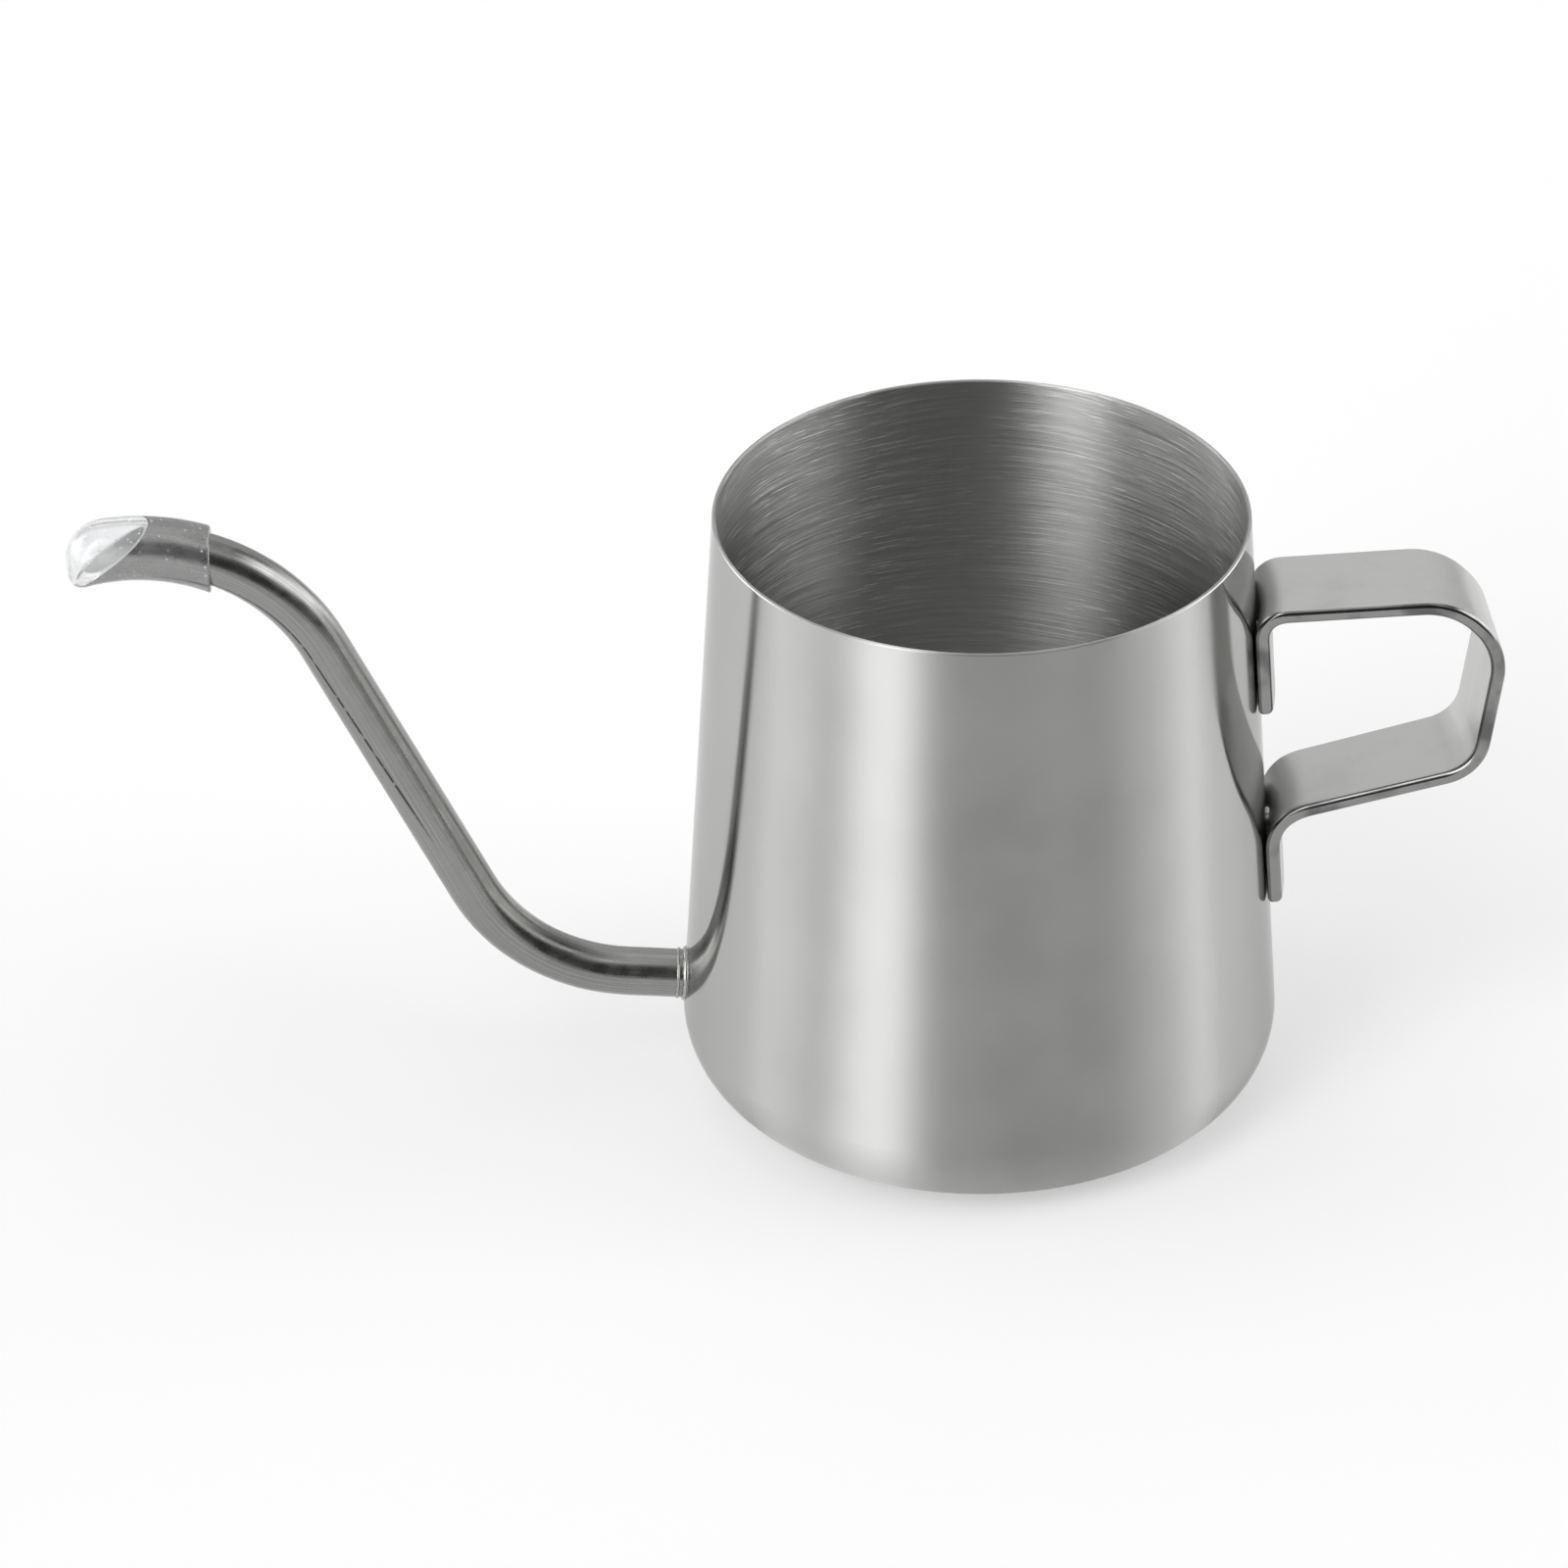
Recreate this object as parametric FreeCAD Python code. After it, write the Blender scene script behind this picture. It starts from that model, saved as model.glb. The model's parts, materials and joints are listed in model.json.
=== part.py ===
import FreeCAD, Part
import math
import os
from FreeCAD import Vector

# A small open pour-over pot of polished stainless steel. Millimetres, +Z up.
# The origin is on the pot's axis, in the plane that its base stands on.
# The spout points along -X, the handle along +X, and both lie in the plane Y = 0.

# Pot body, drawn from one sheet
POT_HEIGHT = 84.5
RIM_RADIUS = 35.0
FOOT_RADIUS = 40.2  # where the straight wall would meet the base plane
BASE_CORNER_RADIUS = 9.5
POT_SHEET = 0.6

# Spout, one bent tube that leaves the wall square
TUBE_DIAMETER = 6.5
TUBE_WALL = 0.6
SPOUT_ROOT_HEIGHT = 13.3
SPOUT_FIRST_RUN = 7.7
SPOUT_LOWER_BEND_RADIUS = 24.2
SPOUT_CLIMB_ANGLE = 63.9  # degrees above the level
SPOUT_CLIMB_RUN = 42.7
SPOUT_UPPER_BEND_RADIUS = 26.3
SPOUT_TIP_ANGLE = 5.0  # degrees below the level, where the cut crosses the centre line
SPOUT_TIP_SLANT = 55.5  # degrees from a square cut, the lower lip the longer
SPOUT_HOLE_CLEARANCE = 0.05

# Weld bead round the spout's root
BEAD_HEIGHT = 0.45
BEAD_LENGTH = 1.0

# Clear soft cap pushed over the spout's tip, with upright ends
CAP_WALL = 0.9
CAP_CLEARANCE = 0.05
CAP_END_WALL = 1.2
CAP_END_ROUND = 2.4
CAP_LIP_CLEARANCE = 0.35  # from the spout's longest lip to the cap's closed end
CAP_LENGTH = 18.8

# Handle, one bent strap welded to the wall by a tab at each end
STRAP_WIDTH = 14.6
STRAP_THICKNESS = 1.9
STRAP_EDGE_ROUND = 0.75
STRAP_WALL_GAP = 0.1
HANDLE_TOP_HEIGHT = 72.3  # where the upper tab's and top run's centre lines cross
UPPER_TAB_LENGTH = 14.7
TOP_RUN_LENGTH = 24.3
FACET_LENGTH = 9.3
OUTER_RUN_LENGTH = 18.6
FACET_TURN = 49.8  # degrees from the top run to the facet
OUTER_RUN_TURN = 52.1  # degrees from the facet to the outer run
LOWER_RUN_SLOPE = 15.4  # degrees that the lower run rises away from the pot
LOWER_TAB_LENGTH = 13.2
UPPER_TAB_BEND_RADIUS = 3.3
FACET_BEND_RADIUS = 9.0
LOWER_CORNER_BEND_RADIUS = 6.5
LOWER_TAB_BEND_RADIUS = 6.1

# Spot welds, spaced along the middle of each tab from its free end
SPOT_DIAMETER = 4.0
SPOT_DEPTH = 0.9  # into the tab
SPOT_END_DISTANCE = 3.2
SPOT_PITCH = 5.2
SPOTS_PER_TAB = 2

# Values that follow from the sizes above
WALL_LEAN = math.atan2(FOOT_RADIUS - RIM_RADIUS, POT_HEIGHT)
WALL_UP = Vector(-math.sin(WALL_LEAN), 0, math.cos(WALL_LEAN))
WALL_OUT = Vector(math.cos(WALL_LEAN), 0, math.sin(WALL_LEAN))
TUBE_RADIUS = TUBE_DIAMETER / 2
BORE_RADIUS = TUBE_RADIUS - TUBE_WALL
CAP_BORE_RADIUS = TUBE_RADIUS + CAP_CLEARANCE
CAP_RADIUS = CAP_BORE_RADIUS + CAP_WALL
ACROSS = Vector(0, 1, 0)
CUTTER_SIZE = 4 * SPOUT_UPPER_BEND_RADIUS  # wider than anything on the spout that it trims
PICK_TOLERANCE = 0.01  # for finding edges that lie in a plane


def wall_radius(height):
    """Radius of the pot's straight outer wall at a height."""
    return FOOT_RADIUS - height * math.tan(WALL_LEAN)


def base_corner_centre():
    """Centre (radius, height) of the arc that joins the base to the wall, inside and out."""
    lean = WALL_LEAN
    radius = FOOT_RADIUS - BASE_CORNER_RADIUS * (1 + math.sin(lean)) / math.cos(lean)
    return Vector(radius, 0, BASE_CORNER_RADIUS)


def base_corner(inset):
    """Base corner's arc, set in from the outer skin, from the base to the wall."""
    centre = base_corner_centre()
    radius = BASE_CORNER_RADIUS - inset
    start = centre + Vector(0, 0, -radius)
    halfway = (WALL_LEAN - math.pi / 2) / 2
    middle = centre + Vector(math.cos(halfway), 0, math.sin(halfway)) * radius
    end = centre + WALL_OUT * radius
    return start, Part.Arc(start, middle, end).toShape(), end


def line(start, end):
    return Part.LineSegment(start, end).toShape()


def turned(edges):
    """Solid of revolution about the pot's axis from a closed outline."""
    face = Part.Face(Part.Wire(edges))
    return face.revolve(Vector(0, 0, 0), Vector(0, 0, 1), 360)


def filled_pot(inset):
    """Everything within the pot's skin, set in by a distance, up to the rim's plane."""
    start, corner, end = base_corner(inset)
    rim = Vector(RIM_RADIUS - inset / math.cos(WALL_LEAN), 0, POT_HEIGHT)
    floor_centre = Vector(0, 0, start.z)
    top_centre = Vector(0, 0, POT_HEIGHT)
    return turned([
        line(floor_centre, start), corner, line(end, rim), line(rim, top_centre), line(top_centre, floor_centre)])


def shell_of_pot():
    """Drawn shell with a rounded lip, before the spout's hole is cut."""
    outer_start, outer_corner, outer_end = base_corner(0)
    inner_start, inner_corner, inner_end = base_corner(POT_SHEET)
    half = POT_SHEET / 2
    lip_centre = Vector(RIM_RADIUS, 0, POT_HEIGHT) - (WALL_OUT + WALL_UP) * half
    outer_lip = lip_centre + WALL_OUT * half
    inner_lip = lip_centre - WALL_OUT * half
    lip = Part.Arc(outer_lip, lip_centre + WALL_UP * half, inner_lip).toShape()
    outer_axis = Vector(0, 0, 0)
    inner_axis = Vector(0, 0, POT_SHEET)
    return turned([
        line(outer_axis, outer_start), outer_corner, line(outer_end, outer_lip), lip,
        line(inner_lip, inner_end), inner_corner.reversed(), line(inner_start, inner_axis),
        line(inner_axis, outer_axis)])


def heading(angle):
    """Direction along the spout at an angle above the level."""
    return Vector(-math.cos(angle), 0, math.sin(angle))


def left_of(angle):
    """Direction square to the spout's heading, on its upper side."""
    return Vector(math.sin(angle), 0, math.cos(angle))


class Spout:
    """Points of the spout's centre line: a run, a bend up, a run, and a bend over to the tip."""

    root_angle = WALL_LEAN
    climb_angle = math.radians(SPOUT_CLIMB_ANGLE)
    root = Vector(-wall_radius(SPOUT_ROOT_HEIGHT), 0, SPOUT_ROOT_HEIGHT)
    inner_end = root - heading(root_angle) * (TUBE_DIAMETER + POT_SHEET)
    lower_start = root + heading(root_angle) * SPOUT_FIRST_RUN
    lower_centre = lower_start + left_of(root_angle) * SPOUT_LOWER_BEND_RADIUS
    lower_end = lower_centre - left_of(climb_angle) * SPOUT_LOWER_BEND_RADIUS
    upper_start = lower_end + heading(climb_angle) * SPOUT_CLIMB_RUN
    upper_centre = upper_start - left_of(climb_angle) * SPOUT_UPPER_BEND_RADIUS


def on_upper_bend(angle):
    """Point of the upper bend's centre line where the spout has this angle above the level."""
    return Spout.upper_centre + left_of(angle) * SPOUT_UPPER_BEND_RADIUS


def disc(centre, normal, radius):
    return Part.Face(Part.Wire(Part.makeCircle(radius, centre, normal)))


def straight_rod(start, end, radius):
    return Part.makeCylinder(radius, (end - start).Length, start, end - start)


def bent_rod(start, start_angle, end_angle, centre, radius):
    """Round rod along an arc about a centre, turned from one spout angle to another."""
    turn = math.degrees(end_angle - start_angle)
    return disc(start, heading(start_angle), radius).revolve(centre, ACROSS, turn)


def spout_rod(radius, tip_angle):
    """Round rod along the whole spout, from inside the pot to an angle on the upper bend."""
    return straight_rod(Spout.inner_end, Spout.lower_start, radius).multiFuse([
        bent_rod(Spout.lower_start, Spout.root_angle, Spout.climb_angle, Spout.lower_centre, radius),
        straight_rod(Spout.lower_end, Spout.upper_start, radius),
        bent_rod(Spout.upper_start, Spout.climb_angle, tip_angle, Spout.upper_centre, radius),
    ]).removeSplitter()


TIP_ANGLE = -math.radians(SPOUT_TIP_ANGLE)
TIP_TILT = TIP_ANGLE + math.radians(SPOUT_TIP_SLANT)


def beyond_plane(point, normal):
    """Cube on the far side of a plane that is square to Y = 0, centred on a point of the plane."""
    size = CUTTER_SIZE
    upward = ACROSS.cross(normal)
    corner = point - (upward + ACROSS) * (size / 2)
    side = Part.Face(Part.makePolygon([
        corner, corner + upward * size, corner + (upward + ACROSS) * size, corner + ACROSS * size, corner]))
    return side.extrude(normal * size)


def spout_lip():
    """Longest point of the spout's slanted mouth, on the inner side of the upper bend."""
    down_the_cut = left_of(TIP_TILT) * -1
    middle = on_upper_bend(TIP_ANGLE) - Spout.upper_centre
    side_radius = SPOUT_UPPER_BEND_RADIUS - TUBE_RADIUS
    fall = middle.dot(down_the_cut)
    travel = -fall - math.sqrt(fall ** 2 - middle.Length ** 2 + side_radius ** 2)
    return Spout.upper_centre + middle + down_the_cut * travel


def angle_at(point):
    """Spout angle of a point beside the upper bend."""
    from_centre = point - Spout.upper_centre
    return math.atan2(from_centre.x, from_centre.z)


CAP_FRONT = spout_lip().x - CAP_LIP_CLEARANCE - CAP_END_WALL
CAP_BACK = CAP_FRONT + CAP_LENGTH


def capped_rod(radius, front, back):
    """Round rod along the upper bend between two upright planes."""
    overrun = 2 * CAP_RADIUS
    start_angle = angle_at(Vector(back + overrun, 0, spout_lip().z))
    end_angle = angle_at(Vector(front - overrun, 0, spout_lip().z))
    rod = bent_rod(on_upper_bend(start_angle), start_angle, end_angle, Spout.upper_centre, radius)
    forward = Vector(-1, 0, 0)
    return rod.cut([
        beyond_plane(Vector(front, 0, Spout.upper_centre.z), forward),
        beyond_plane(Vector(back, 0, Spout.upper_centre.z), forward * -1)])


def make_spout_tube():
    end_angle = angle_at(spout_lip() + heading(TIP_ANGLE) * TUBE_RADIUS)
    tube = spout_rod(TUBE_RADIUS, end_angle).cut(spout_rod(BORE_RADIUS, end_angle))
    past_mouth = beyond_plane(on_upper_bend(TIP_ANGLE), heading(TIP_TILT))
    return tube.cut([past_mouth, filled_pot(POT_SHEET)])


def make_pot_body():
    hole = straight_rod(Spout.inner_end, Spout.lower_start, TUBE_RADIUS + SPOUT_HOLE_CLEARANCE)
    return shell_of_pot().cut(hole)


def make_spout_weld_bead():
    """Ring in the corner between the wall and the tube, trimmed to the wall's curve."""
    out = heading(Spout.root_angle)
    side = left_of(Spout.root_angle)
    inner = Spout.inner_end + side * TUBE_RADIUS
    crown = Spout.inner_end + side * (TUBE_RADIUS + BEAD_HEIGHT)
    length = (Spout.root - Spout.inner_end).Length
    shoulder = crown + out * (length + BEAD_LENGTH - BEAD_HEIGHT)
    toe = inner + out * (length + BEAD_LENGTH)
    round_over = Spout.inner_end + side * TUBE_RADIUS + out * (length + BEAD_LENGTH - BEAD_HEIGHT)
    halfway = round_over + (out + side) * (BEAD_HEIGHT * math.sqrt(0.5))
    section = Part.Face(Part.Wire([
        line(inner, crown), line(crown, shoulder), Part.Arc(shoulder, halfway, toe).toShape(), line(toe, inner)]))
    return section.revolve(Spout.root, out, 360).cut(filled_pot(0))


def make_spout_tip_cap():
    """Closed cap whose bore follows the bend of the tube inside it."""
    outside = capped_rod(CAP_RADIUS, CAP_FRONT, CAP_BACK)
    front_edges = [edge for edge in outside.Edges if edge.BoundBox.XMax < CAP_FRONT + PICK_TOLERANCE]
    rounded = outside.makeFillet(CAP_END_ROUND, front_edges)
    return rounded.cut(capped_rod(CAP_BORE_RADIUS, CAP_FRONT + CAP_END_WALL, CAP_BACK + CAP_WALL))


def on_tab(height):
    """Point of the tabs' centre line, which runs along the wall, at a height."""
    stand_off = (STRAP_WALL_GAP + STRAP_THICKNESS / 2) / math.cos(WALL_LEAN)
    return Vector(wall_radius(height) + stand_off, 0, height)


def strap_direction(angle):
    return Vector(math.cos(angle), 0, math.sin(angle))


def strap_corners():
    """Corners of the strap's centre line, from the upper tab's free end to the lower tab's."""
    top = on_tab(HANDLE_TOP_HEIGHT)
    upper_end = top - WALL_UP * UPPER_TAB_LENGTH
    facet_angle = WALL_LEAN - math.radians(FACET_TURN)
    outer_angle = facet_angle - math.radians(OUTER_RUN_TURN)
    facet_start = top + strap_direction(WALL_LEAN) * TOP_RUN_LENGTH
    facet_end = facet_start + strap_direction(facet_angle) * FACET_LENGTH
    lower_corner = facet_end + strap_direction(outer_angle) * OUTER_RUN_LENGTH
    slope = math.tan(math.radians(LOWER_RUN_SLOPE))
    tab_line = on_tab(lower_corner.z)
    drop = (lower_corner.x - tab_line.x) * slope / (1 + slope * math.tan(WALL_LEAN))
    tab_start = on_tab(lower_corner.z - drop)
    lower_end = tab_start - WALL_UP * LOWER_TAB_LENGTH
    return [upper_end, top, facet_start, facet_end, lower_corner, tab_start, lower_end]


STRAP_BEND_RADII = [
    UPPER_TAB_BEND_RADIUS, FACET_BEND_RADIUS, FACET_BEND_RADIUS, LOWER_CORNER_BEND_RADIUS, LOWER_TAB_BEND_RADIUS]


def bend(before, corner, after, radius):
    """Start, middle and end of the arc that rounds a corner of the strap's centre line, and its centre."""
    back = (before - corner).normalize()
    ahead = (after - corner).normalize()
    half = back.getAngle(ahead) / 2
    inward = (back + ahead).normalize()
    centre = corner + inward * (radius / math.sin(half))
    reach = radius / math.tan(half)
    return corner + back * reach, centre - inward * radius, corner + ahead * reach, centre


def strap_side(offset):
    """Edges of one long side of the strap, a distance to the left of its centre line."""
    corners = strap_corners()
    edges = []
    normal = ACROSS.cross(corners[1] - corners[0]).normalize() * -1
    reached = corners[0] + normal * offset
    for before, corner, after, radius in zip(corners, corners[1:], corners[2:], STRAP_BEND_RADII):
        start, middle, end, centre = bend(before, corner, after, radius)
        left = ACROSS.cross(corner - before).normalize() * -1
        scale = (start + left * offset - centre).Length / radius
        points = [centre + (point - centre) * scale for point in (start, middle, end)]
        edges.append(line(reached, points[0]))
        edges.append(Part.Arc(*points).toShape())
        reached = points[2]
    last = ACROSS.cross(corners[-1] - corners[-2]).normalize() * -1
    edges.append(line(reached, corners[-1] + last * offset))
    return edges


def spot_axes(free_end, inward):
    """Where each spot weld's axis crosses a tab's wall-side face, counted from the tab's free end."""
    face = free_end - WALL_OUT * (STRAP_THICKNESS / 2)
    return [face + inward * (SPOT_END_DISTANCE + count * SPOT_PITCH) for count in range(SPOTS_PER_TAB)]


def spot_plugs(free_end, inward):
    """Plugs that run from inside the pot's wall into a tab."""
    depth_behind = STRAP_WALL_GAP + SPOT_DIAMETER  # well past the wall's skin, which curves away
    return [
        Part.makeCylinder(SPOT_DIAMETER / 2, depth_behind + SPOT_DEPTH, point - WALL_OUT * depth_behind, WALL_OUT)
        for point in spot_axes(free_end, inward)]


def upper_plugs():
    return spot_plugs(strap_corners()[0], WALL_UP)


def lower_plugs():
    return spot_plugs(strap_corners()[-1], WALL_UP)


def make_handle_strap():
    half = STRAP_THICKNESS / 2
    left = strap_side(half)
    right = strap_side(-half)
    ends = [
        line(left[-1].Vertexes[-1].Point, right[-1].Vertexes[-1].Point),
        line(right[0].Vertexes[0].Point, left[0].Vertexes[0].Point)]
    outline = Part.Wire(Part.__sortEdges__(left + right + ends))
    plate = Part.Face(outline)
    plate.translate(ACROSS * (-STRAP_WIDTH / 2))
    strap = plate.extrude(ACROSS * STRAP_WIDTH)
    strap = strap.makeFillet(STRAP_EDGE_ROUND, strap.Edges)
    return strap.cut(upper_plugs() + lower_plugs())


def make_spot_welds(plugs):
    """Weld metal between the wall and a tab, trimmed to the wall's curve."""
    return Part.makeCompound([plug.cut(filled_pot(0)) for plug in plugs])


def main():
    os.makedirs("parts", exist_ok=True)
    nodes = {
        "pot_body": make_pot_body(),
        "spout_tube": make_spout_tube(),
        "spout_weld_bead": make_spout_weld_bead(),
        "spout_tip_cap": make_spout_tip_cap(),
        "handle_strap": make_handle_strap(),
        "handle_upper_spot_welds": make_spot_welds(upper_plugs()),
        "handle_lower_spot_welds": make_spot_welds(lower_plugs()),
    }
    for name, shape in nodes.items():
        shape.exportStep(f"parts/{name}.step")
        print(name, "solids", len(shape.Solids), "volume", round(shape.Volume, 2), "valid", shape.isValid())


main()
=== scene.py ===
import json
import math

import bmesh
import bpy
from mathutils import Matrix, Vector

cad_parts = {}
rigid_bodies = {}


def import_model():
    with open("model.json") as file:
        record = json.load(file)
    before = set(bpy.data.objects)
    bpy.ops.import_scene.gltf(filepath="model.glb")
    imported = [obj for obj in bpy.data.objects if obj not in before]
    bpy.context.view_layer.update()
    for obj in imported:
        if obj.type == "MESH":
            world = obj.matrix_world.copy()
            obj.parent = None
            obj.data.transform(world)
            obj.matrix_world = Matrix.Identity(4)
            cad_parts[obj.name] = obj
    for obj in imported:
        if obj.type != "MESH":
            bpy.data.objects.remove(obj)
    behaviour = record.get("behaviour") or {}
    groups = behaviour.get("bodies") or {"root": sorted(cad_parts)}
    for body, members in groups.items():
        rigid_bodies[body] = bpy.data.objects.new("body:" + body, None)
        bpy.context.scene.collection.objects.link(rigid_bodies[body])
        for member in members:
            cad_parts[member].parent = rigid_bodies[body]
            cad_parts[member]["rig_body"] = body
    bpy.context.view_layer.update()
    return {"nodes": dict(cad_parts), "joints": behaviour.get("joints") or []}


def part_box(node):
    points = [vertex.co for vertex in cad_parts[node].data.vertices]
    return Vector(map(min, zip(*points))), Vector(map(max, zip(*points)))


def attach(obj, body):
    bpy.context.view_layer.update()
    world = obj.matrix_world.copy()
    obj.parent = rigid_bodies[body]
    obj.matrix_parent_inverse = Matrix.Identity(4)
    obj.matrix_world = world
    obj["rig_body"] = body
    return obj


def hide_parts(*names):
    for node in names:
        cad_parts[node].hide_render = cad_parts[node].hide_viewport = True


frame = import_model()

# All lengths are in metres

# Camera, fitted to the photograph
IMAGE_SIDE = 1600
FOCAL_PIXELS = 9263
SENSOR_MM = 36.0
AIM = Vector((0, 0, 0.042))
CAMERA_DISTANCE = 1.2
CAMERA_AZIMUTH = math.radians(-1.5)
CAMERA_ELEVATION = math.radians(32.52)
CAMERA_YAW = math.radians(1.238)
CAMERA_PITCH = math.radians(0.029)
CAMERA_ROLL = math.radians(0.317)

# Studio: a dark room with soft panels of light round the object
SURROUND = [
    # elevation in degrees, brightness of the plain room
    (-5, 0.045),
    (50, 0.06),
    (78, 0.95),
]
PANELS = [
    # azimuth, 0 on the camera's side and right positive; half width of the full part and of the whole;
    # elevations where it begins, is full, fades and ends (all in degrees); brightness
    (-98, 18, 50, -10, 0, 24, 46, 2.7),
    (-42, 3, 25, -10, 0, 55, 75, 4.0),
    (106, 14, 40, -10, 0, 16, 34, 2.7),
    (180, 25, 60, -5, 15, 60, 80, 0.75),
    (87, 16, 34, 21, 30, 42, 54, 2.8),
    (44, 8, 20, 42, 54, 70, 82, 0.9),
]
FLOOR_SIDE = 8.0
FLOOR_COLOR = (0.95, 0.95, 0.95, 1)
FLOOR_ROUGHNESS = 0.8
# Share of plain white in the floor as it is seen. The rest is the lit floor with its shadow
FLOOR_WHITENING = 0.4

# Pot
POT_HEIGHT = 0.0845
RIM_RADIUS = 0.035
FOOT_RADIUS = 0.0402
WALL_LEAN = math.atan2(FOOT_RADIUS - RIM_RADIUS, POT_HEIGHT)
# Share of the radius towards spout or handle, where the buffing round the welds begins and is full
BUFFED_ZONE = (0.68, 0.88)
LOOKS_UP = 0.5  # a face looks up where its normal's Z is more than this

# Handle's strap: its tabs follow the round wall, and its outer part is bent a little askew
STRAP_CUTS = 13  # slices across the strap's width
STRAP_HALF_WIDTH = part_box("handle_strap")[1].y
TAB_REACH = (0.0025, 0.0065)  # from the wall: where a tab is all curved, and where it is all flat
SKEW_START = 0.042
SKEW_END = 0.063
SKEW_PER_WIDTH = 0.1
SKEW_SHIFT = 0.0004

# Cap: soft and clear, tight on the spout, with a rounded closed end
CAP_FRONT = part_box("spout_tip_cap")[0].x
CAP_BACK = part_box("spout_tip_cap")[1].x
CAP_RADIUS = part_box("spout_tip_cap")[1].y
CAP_GRIP = 0.00015  # how far the bore presses into the spout's skin, so that no air shows between them
CAP_END_WALL = 0.0009
CAP_DOME = (0.0028, 0.0052)  # depth of the rounded end, at the bottom and at the top
CAP_HOLLOW = (0.0004, 0.0038)  # the same for the hollow inside it
CAP_DOME_POWER = 2.4  # 2 is an ellipse, more is squarer
CAP_BACK_ROUND = 0.00035
CAP_TURNS = 96
CAP_DOME_STEPS = 14
CAP_SIDE_STEPS = 24
CAP_ROUND_STEPS = 5

# Weld bead round the spout's root: distance from the wall and radius of each of its rings
BEAD_RINGS = ((0.0, 0.00045), (0.001, 0.00022))
BEAD_RIPPLES = 17
BEAD_RIPPLE_DEPTH = 0.1  # of its radius
BEAD_WOBBLES = ((0.06, 5, 0), (0.05, 11, 1))  # depth as a share of its radius, number in a turn, shift
BEAD_STEPS = 204
BEAD_SIDES = 12
ROOT_TRIES = 8  # steps towards the wall when the spout's root is looked for

# Spout's centre line
UPPER_BEND_CENTRE = Vector(frame["joints"][0]["pos_m"])
UPPER_BEND_RADIUS = 0.0263
LOWER_BEND_RADIUS = 0.0242
CLIMB_ANGLE = math.radians(63.9)
CLIMB_RUN = 0.0427
ROOT_ANGLE = math.radians(3.52)
TUBE_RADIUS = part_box("spout_tube")[1].y
BORE_LIMIT = 0.0029  # from the centre line: the spout's faces nearer than this are on its bore
LIP_SLANT = 0.9  # a face on the cut at the mouth looks away from the centre line by less than this
LIP_SIDEWAYS = 0.01  # and sideways by less than this
TOOL_MARK_GIRTH = 0.00517  # round from the top, towards the camera, at the climb's start
TOOL_MARK_DRIFT = 0.0345  # further round, for each metre along
TOOL_MARK_START = (0.008, 0.018)  # lengths along the spout where the mark comes in
TOOL_MARK_END = (0.072, 0.064)  # and where it is gone, and where it begins to go
TOOL_MARK_WIDTH = (0.0001, 0.0002)  # from its middle: where it is full, and where it ends

# Meshes
SAME_PLACE = 1e-6  # points nearer than this are one
CREASE_ANGLE = math.radians(35)

# Colours of the finishes
POLISHED_LIGHT = (0.525, 0.525, 0.515, 1)
POLISHED_DARK = (0.47, 0.47, 0.46, 1)
# Inside of the pot: its plain colour, and a darker one towards the spout and the handle, which is painted
# shade
BRUSHED_FRONT = (0.52, 0.52, 0.51, 1)
BRUSHED_SHADED_SIDE = (0.34, 0.34, 0.33, 1)
# Near white of the inside's scratches, a painted highlight; the fine lines are lightened part way towards
# it
SCRATCH_GLINT_COLOR = (0.95, 0.95, 0.94, 1)
# Spout's steel: written much darker than the pot's, as painted shade; its lines vary it between these two
SPOUT_SHADED_DARK = (0.25, 0.25, 0.245, 1)
SPOUT_SHADED_LIGHT = (0.33, 0.33, 0.32, 1)
TOOL_MARK_COLOR = (0.06, 0.06, 0.06, 1)
# Spout's bore: written pale, as painted light
BORE_PAINTED_LIGHT_DIM = (0.66, 0.66, 0.65, 1)
BORE_PAINTED_LIGHT_BRIGHT = (0.8, 0.8, 0.79, 1)
# Spout's cut lip: partly the brightness of filed metal, partly a painted highlight
FILED_HIGHLIGHT_DARK = (0.72, 0.72, 0.71, 1)
FILED_HIGHLIGHT_LIGHT = (0.88, 0.88, 0.87, 1)
SATIN_DARK = (0.54, 0.54, 0.53, 1)
SATIN_LIGHT = (0.62, 0.62, 0.61, 1)
SATIN_MOTTLE = (0.44, 0.44, 0.43, 1)
# Strap's round edges: painted shade, far darker than its faces, with darker blotches
EDGE_SHADE = (0.27, 0.27, 0.265, 1)
EDGE_SHADE_BLOTCH = (0.13, 0.13, 0.13, 1)
WELD_DARK = (0.36, 0.355, 0.34, 1)
WELD_LIGHT = (0.5, 0.5, 0.49, 1)
VINYL_COLOR = (0.96, 0.97, 0.975, 1)

# Roughness of the finishes, from their smooth to their rough places
POLISHED_ROUGHNESS = (0.4, 0.43)
WIPE_ROUGHNESS = 0.025  # added by wipe marks
BUFFED_ROUGHNESS = -0.3  # added by the buffing
BRUSHED_ROUGHNESS = (0.38, 0.5)
SPOUT_ROUGHNESS = (0.23, 0.34)
BORE_ROUGHNESS = (0.5, 0.65)
FILED_ROUGHNESS = (0.28, 0.4)
SATIN_ROUGHNESS = (0.3, 0.42)
EDGE_ROUGHNESS = (0.14, 0.22)
WELD_ROUGHNESS = (0.18, 0.32)
VINYL_ROUGHNESS = (0.08, 0.2)

# Gloss of the pot, which its fine lines spread up and down, and its tint where it is seen at a slant
POLISHED_SPREAD = 1.0
POLISHED_TINT = (0.75, 0.75, 0.75, 1)
BRUSHED_SPREAD = 0.97
BRUSHED_TINT = (0.45, 0.45, 0.45, 1)
QUARTER_TURN = 0.25  # from along the lines to across them

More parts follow.
